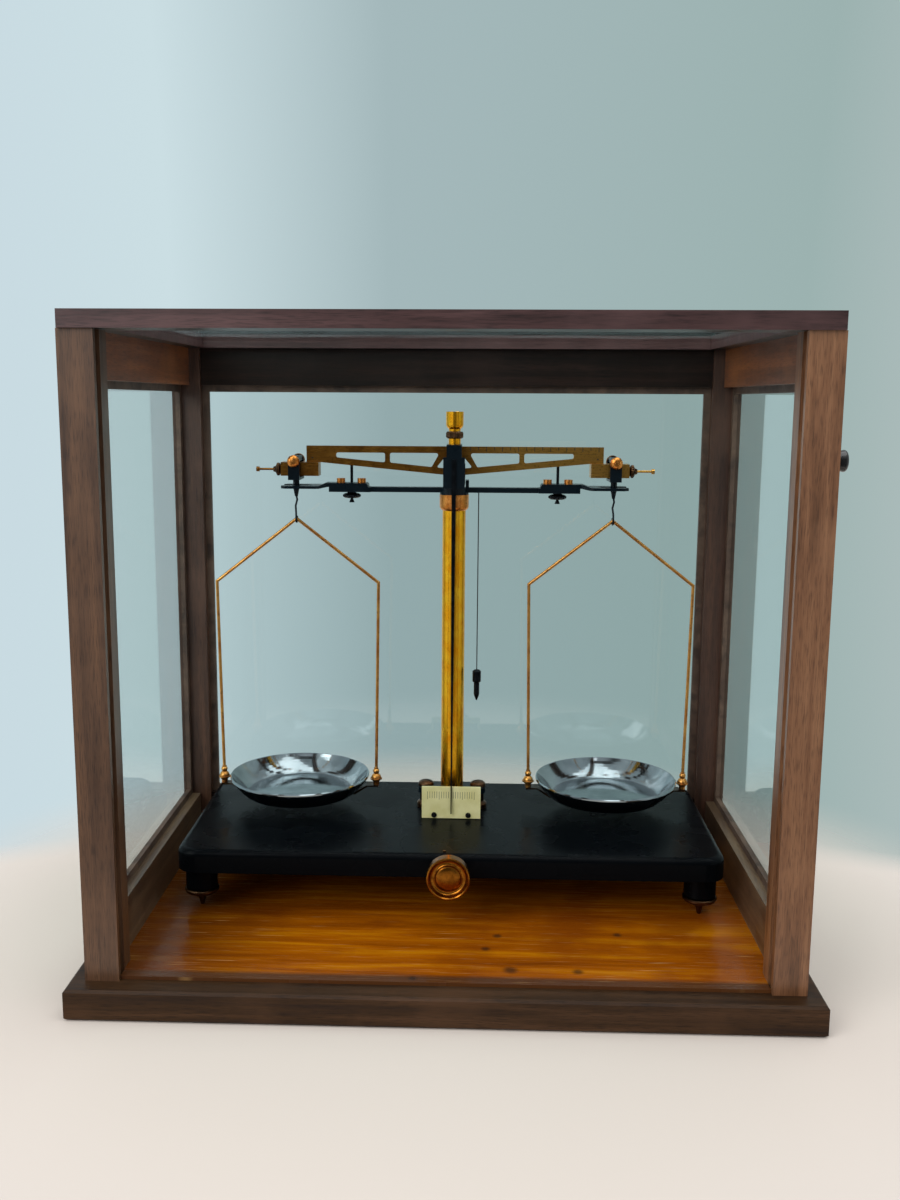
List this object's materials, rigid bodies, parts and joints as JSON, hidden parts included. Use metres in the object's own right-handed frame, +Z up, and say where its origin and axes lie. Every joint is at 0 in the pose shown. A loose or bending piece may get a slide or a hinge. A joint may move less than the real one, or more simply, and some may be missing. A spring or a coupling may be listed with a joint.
{
  "type": "analytical two-pan balance in a glazed case",
  "caption": "Two-pan laboratory balance: a pierced brass beam on a knife edge over a pillar, wire bows with dished pans, in a glazed mahogany case with an open front.",
  "frame": {"origin": "middle of the plinth's underside, where the case stands on the table", "axes": "+Z up, the open front of the case faces -Y, +X is to the right seen from the front"},
  "size_m": [0.418, 0.27, 0.384],
  "materials": {
    "mahogany_posts": "varnished mahogany, worn satin",
    "mahogany_top": "dark polished mahogany",
    "mahogany_rails": "varnished mahogany",
    "plinth_wood": "dark varnished hardwood",
    "floor_varnish": "glossy orange varnish",
    "bead_wood": "dull dark hardwood",
    "clear_glass": "clear, polished",
    "cream_leaf": "cream, slightly glossy",
    "black_plastic": "black, polished",
    "black_lacquer": "gloss black lacquer",
    "gilt_brass": "lacquered brass, polished",
    "beam_brass": "darker lacquered brass, satin",
    "copper_brass": "reddish lacquered brass",
    "bronze": "dark bronzed brass",
    "steel": "bright steel",
    "dark_steel": "blackened steel",
    "agate": "polished agate",
    "chrome_plate": "plated, polished",
    "ivory_scale": "ivory enamel",
    "silk_thread": "dark waxed thread"
  },
  "bodies": {
    "case": {"plinth": "plinth_wood", "floor_panel": "floor_varnish", "front_left_post": "mahogany_posts", "front_right_post": "mahogany_posts", "rear_posts": "mahogany_posts", "top_side_rails": "mahogany_rails", "bottom_side_rails": "mahogany_rails", "rear_rails": "mahogany_rails", "top_frame": "mahogany_top", "case_glass": "clear_glass", "glazing_beads": "bead_wood", "sash_clamp_leaf": "cream_leaf", "base_plate": "black_lacquer", "rear_foot": "black_lacquer", "pillar_bridge": "black_lacquer", "bridge_spacers": "gilt_brass", "bridge_screws": "bronze", "pillar_tube": "gilt_brass", "pillar_collar": "copper_brass", "pillar_head": "black_lacquer", "arrest_arms": "black_lacquer", "end_forks": "black_lacquer", "arm_screws": "bronze", "arrest_pins": "dark_steel", "pin_nuts": "dark_steel", "knob_bush": "gilt_brass", "scale_plate": "ivory_scale", "scale_bracket": "black_lacquer", "scale_screws": "black_plastic", "plumb_line": "silk_thread", "plumb_bob": "dark_steel"},
    "sash_clamp": {"sash_clamp_knob": "black_plastic"},
    "left_levelling": {"left_levelling_screw": "bronze"},
    "right_levelling": {"right_levelling_screw": "bronze"},
    "arrest_control": {"arrest_knob": "gilt_brass", "arrest_shaft": "steel"},
    "bearing_lift": {"lifting_rod": "steel", "bearing_block": "black_lacquer", "bearing_planes": "agate"},
    "beam_assembly": {"beam": "beam_brass", "beam_saddle": "black_lacquer", "centre_knife": "steel", "end_blocks": "beam_brass", "end_knives": "steel", "pointer": "dark_steel", "gravity_post": "gilt_brass"},
    "gravity_weight": {"gravity_bob": "gilt_brass", "gravity_nut": "bronze"},
    "left_nut": {"left_balance_nut": "bronze"},
    "right_nut": {"right_balance_nut": "bronze"},
    "left_hanger": {"left_stirrup": "black_lacquer", "left_stirrup_cap": "copper_brass"},
    "right_hanger": {"right_stirrup": "black_lacquer", "right_stirrup_cap": "copper_brass"},
    "left_bow_wire": {"left_bow": "copper_brass", "left_pan_strap": "bronze"},
    "right_bow_wire": {"right_bow": "copper_brass", "right_pan_strap": "bronze"},
    "left_pan_dish": {"left_pan": "chrome_plate"},
    "right_pan_dish": {"right_pan": "chrome_plate"}
  },
  "joints": [
    {"name": "arrest_turn", "type": "hinge", "parent": "case", "child": "arrest_control", "pos_m": [0.0012, -0.049, 0.0545], "axis": [0, 1, 0], "range_deg": [0, 90]},
    {"name": "beam_lift", "type": "slide", "parent": "case", "child": "bearing_lift", "axis": [0, 0, 1], "range_m": [0, 0.0015]},
    {"name": "beam_tilt", "type": "hinge", "parent": "bearing_lift", "child": "beam_assembly", "pos_m": [0.0012, 0.051, 0.2998], "axis": [0, 1, 0], "range_deg": [-1.5, 1.5]},
    {"name": "left_stirrup_swing", "type": "hinge", "parent": "beam_assembly", "child": "left_hanger", "pos_m": [-0.1038, 0.051, 0.2995], "axis": [0, 1, 0], "range_deg": [-4, 4]},
    {"name": "left_bow_swing", "type": "hinge", "parent": "left_hanger", "child": "left_bow_wire", "pos_m": [-0.1038, 0.051, 0.261], "axis": [1, 0, 0], "range_deg": [-4, 4]},
    {"name": "left_pan_lift_off", "type": "slide", "parent": "left_bow_wire", "child": "left_pan_dish", "axis": [0, 0, 1], "range_m": [0, 0.02]},
    {"name": "left_nut_turn", "type": "hinge", "parent": "beam_assembly", "child": "left_nut", "pos_m": [-0.1158, 0.051, 0.29375], "axis": [1, 0, 0], "continuous": true},
    {"name": "right_stirrup_swing", "type": "hinge", "parent": "beam_assembly", "child": "right_hanger", "pos_m": [0.1062, 0.051, 0.2995], "axis": [0, 1, 0], "range_deg": [-4, 4]},
    {"name": "right_bow_swing", "type": "hinge", "parent": "right_hanger", "child": "right_bow_wire", "pos_m": [0.1062, 0.051, 0.261], "axis": [1, 0, 0], "range_deg": [-4, 4]},
    {"name": "right_pan_lift_off", "type": "slide", "parent": "right_bow_wire", "child": "right_pan_dish", "axis": [0, 0, 1], "range_m": [0, 0.02]},
    {"name": "right_nut_turn", "type": "hinge", "parent": "beam_assembly", "child": "right_nut", "pos_m": [0.1182, 0.051, 0.29375], "axis": [1, 0, 0], "continuous": true},
    {"name": "gravity_bob_turn", "type": "hinge", "parent": "beam_assembly", "child": "gravity_weight", "pos_m": [0.0012, 0.051, 0.325], "axis": [0, 0, 1], "continuous": true},
    {"name": "left_levelling_turn", "type": "hinge", "parent": "case", "child": "left_levelling", "pos_m": [-0.1568, -0.022, 0.04], "axis": [0, 0, 1], "continuous": true},
    {"name": "right_levelling_turn", "type": "hinge", "parent": "case", "child": "right_levelling", "pos_m": [0.1592, -0.022, 0.04], "axis": [0, 0, 1], "continuous": true},
    {"name": "sash_clamp_turn", "type": "hinge", "parent": "case", "child": "sash_clamp", "pos_m": [0.2, -0.116, 0.3094], "axis": [1, 0, 0], "continuous": true}
  ],
  "couplings": [
    {"joint": "arrest_turn", "follows": "beam_lift", "rad_per_m": 1047.2}
  ]
}
